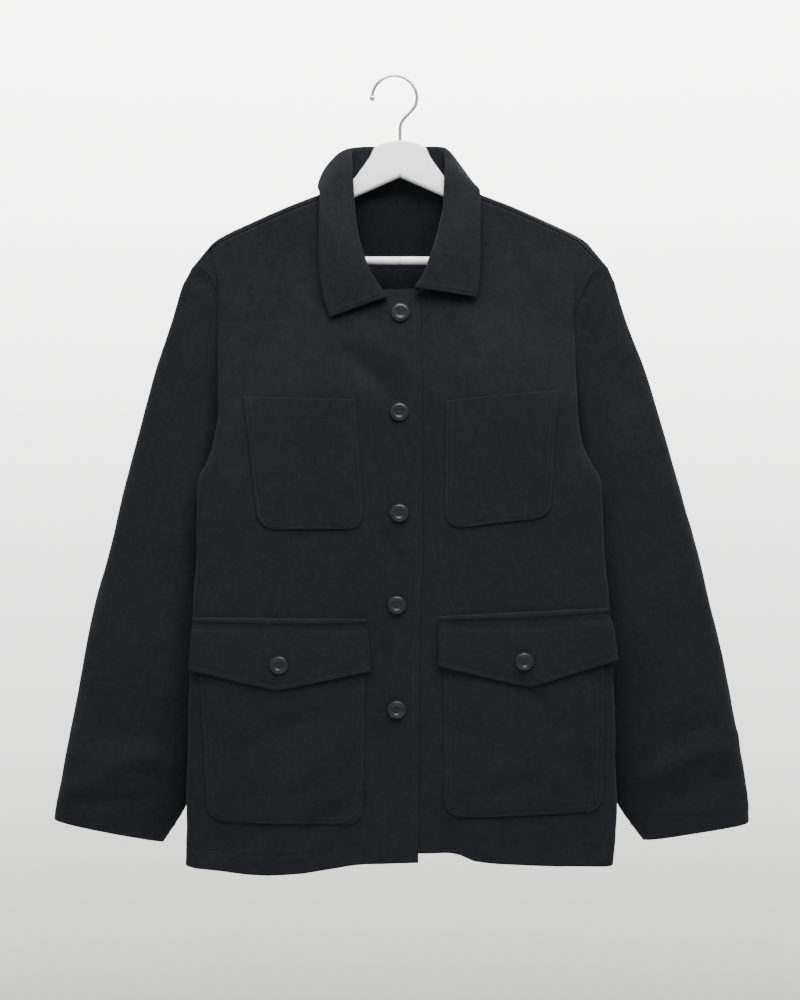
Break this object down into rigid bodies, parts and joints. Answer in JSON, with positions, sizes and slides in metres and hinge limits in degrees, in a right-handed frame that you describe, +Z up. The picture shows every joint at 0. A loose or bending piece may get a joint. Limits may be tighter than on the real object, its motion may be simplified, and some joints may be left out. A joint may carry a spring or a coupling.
{
  "type": "field jacket on a hanger",
  "caption": "Buttoned cotton field jacket with chest patch pockets and flapped lower pockets, hanging on a wooden clothes hanger.",
  "frame": {"origin": "the inside of the top of the hanger hook's arc, where it rests on a rail", "axes": "+Z up, +Y from the jacket's front to its back, +X to the wearer's left; the rail that holds the hook runs along Y"},
  "size_m": [0.7645, 0.1105, 0.8695],
  "materials": {
    "twill": "washed dark navy-black cotton twill",
    "button": "dark grey satin plastic with four holes",
    "white_paint": "white satin paint on wood",
    "chrome": "bright plated wire"
  },
  "bodies": {
    "root": {"front_right": "twill", "front_left": "twill", "back_right": "twill", "back_left": "twill", "sleeve_right": "twill", "sleeve_left": "twill", "collar": "twill", "chest_pocket_right": "twill", "chest_pocket_left": "twill", "lower_pocket_right": "twill", "lower_pocket_left": "twill", "pocket_flap_right": "twill", "pocket_flap_left": "twill", "front_button_1": "button", "front_button_2": "button", "front_button_3": "button", "front_button_4": "button", "front_button_5": "button", "flap_button_right": "button", "flap_button_left": "button", "hanger_wood": "white_paint", "hanger_bar": "white_paint", "hanger_hook": "chrome"}
  },
  "joints": []
}
